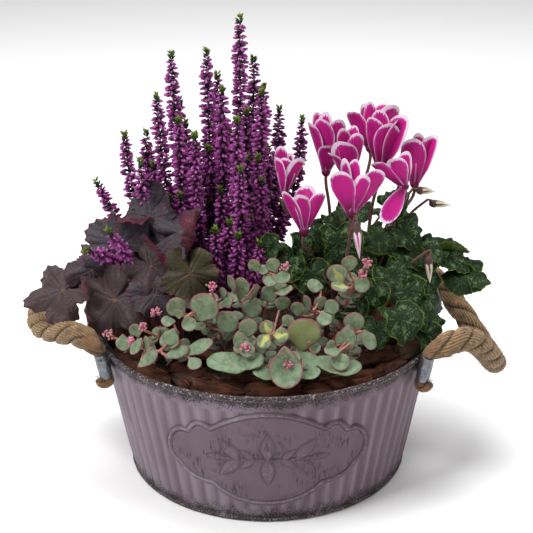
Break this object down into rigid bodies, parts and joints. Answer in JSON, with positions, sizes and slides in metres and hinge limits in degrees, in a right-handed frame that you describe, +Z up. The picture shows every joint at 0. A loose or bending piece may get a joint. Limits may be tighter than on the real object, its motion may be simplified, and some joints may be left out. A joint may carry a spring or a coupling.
{
  "type": "mixed flower planter",
  "caption": "Round fluted metal tub with rope handles, planted with heather, cyclamen, purple heuchera and trailing sedum over bark mulch.",
  "frame": {"origin": "on the tub's axis, in the plane that the tub stands on", "axes": "+Z up the tub's axis; -Y towards the front, where the raised label is; +X to the right of it"},
  "size_m": [0.403, 0.2824, 0.373],
  "materials": {
    "painted_metal": "dusty lilac distressed paint",
    "galvanised_metal": "dull zinc",
    "jute_rope": "twisted jute",
    "liner_plastic": "matte",
    "potting_soil": "crumbly",
    "bark": "rough fibrous",
    "heather": "fine florets",
    "heuchera": "satin leaf",
    "sedum": "waxy leaf",
    "cyclamen_petal": "soft petal",
    "cyclamen_bud": "soft petal",
    "cyclamen_leaf": "glossy leaf"
  },
  "bodies": {
    "root": {"tub": "painted_metal", "rope_sleeve_right_front": "galvanised_metal", "rope_sleeve_right_back": "galvanised_metal", "rope_sleeve_left_front": "galvanised_metal", "rope_sleeve_left_back": "galvanised_metal", "rivet_right_front": "galvanised_metal", "rivet_right_back": "galvanised_metal", "rivet_left_front": "galvanised_metal", "rivet_left_back": "galvanised_metal", "rope_handle_right": "jute_rope", "rope_handle_left": "jute_rope", "liner": "liner_plastic", "soil": "potting_soil", "bark_mulch": "bark", "heather_branch_1": "heather", "heather_branch_2": "heather", "heather_branch_3": "heather", "heather_branch_4": "heather", "heather_branch_5": "heather", "heather_branch_6": "heather", "heather_branch_7": "heather", "heather_branch_8": "heather", "heather_branch_9": "heather", "heather_branch_10": "heather", "heather_branch_11": "heather", "heather_branch_12": "heather", "heather_branch_13": "heather", "heuchera_leaf_1": "heuchera", "heuchera_leaf_2": "heuchera", "heuchera_leaf_3": "heuchera", "heuchera_leaf_4": "heuchera", "heuchera_leaf_5": "heuchera", "heuchera_leaf_6": "heuchera", "sedum_stem_1": "sedum", "sedum_stem_2": "sedum", "sedum_stem_3": "sedum", "sedum_stem_4": "sedum", "sedum_stem_5": "sedum", "sedum_stem_6": "sedum", "sedum_stem_7": "sedum", "sedum_stem_8": "sedum", "cyclamen_bloom_1": "cyclamen_petal", "cyclamen_bloom_2": "cyclamen_petal", "cyclamen_bloom_3": "cyclamen_petal", "cyclamen_bloom_4": "cyclamen_petal", "cyclamen_bloom_5": "cyclamen_petal", "cyclamen_bloom_6": "cyclamen_petal", "cyclamen_bloom_7": "cyclamen_petal", "cyclamen_bloom_8": "cyclamen_petal", "cyclamen_bloom_9": "cyclamen_petal", "cyclamen_bud_1": "cyclamen_bud", "cyclamen_bud_2": "cyclamen_bud", "cyclamen_bud_3": "cyclamen_bud", "cyclamen_bud_4": "cyclamen_bud", "cyclamen_leaves_1": "cyclamen_leaf", "cyclamen_leaves_2": "cyclamen_leaf", "cyclamen_leaves_3": "cyclamen_leaf", "cyclamen_leaves_4": "cyclamen_leaf", "cyclamen_leaves_5": "cyclamen_leaf", "cyclamen_leaves_6": "cyclamen_leaf"}
  },
  "joints": []
}
